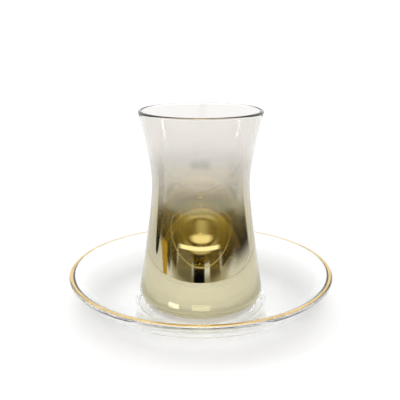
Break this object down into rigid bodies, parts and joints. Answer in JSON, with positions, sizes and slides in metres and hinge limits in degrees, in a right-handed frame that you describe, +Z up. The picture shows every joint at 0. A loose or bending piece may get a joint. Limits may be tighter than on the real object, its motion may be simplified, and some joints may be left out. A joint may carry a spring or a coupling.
{
  "type": "turkish tea glass",
  "caption": "Slim-waisted tea glass with a mirror coat that fades upwards, standing in the well of a clear glass saucer with a gold-lined rim.",
  "frame": {"origin": "centre of the saucer's underside, on the surface the saucer stands on", "axes": "+Z up along the common axis of glass and saucer, +X to the right and -Y towards the viewer in the picture"},
  "size_m": [0.124, 0.124, 0.0949],
  "materials": {
    "coated_glass": "clear glass, polished",
    "clear_glass": "clear glass, polished",
    "mirror_coat": "thin champagne gold mirror film on the outside, full at the foot, fading out towards the rim",
    "gold_line": "painted gold line, satin"
  },
  "bodies": {
    "root": {"tea_glass": "coated_glass", "saucer": "clear_glass"}
  },
  "joints": []
}
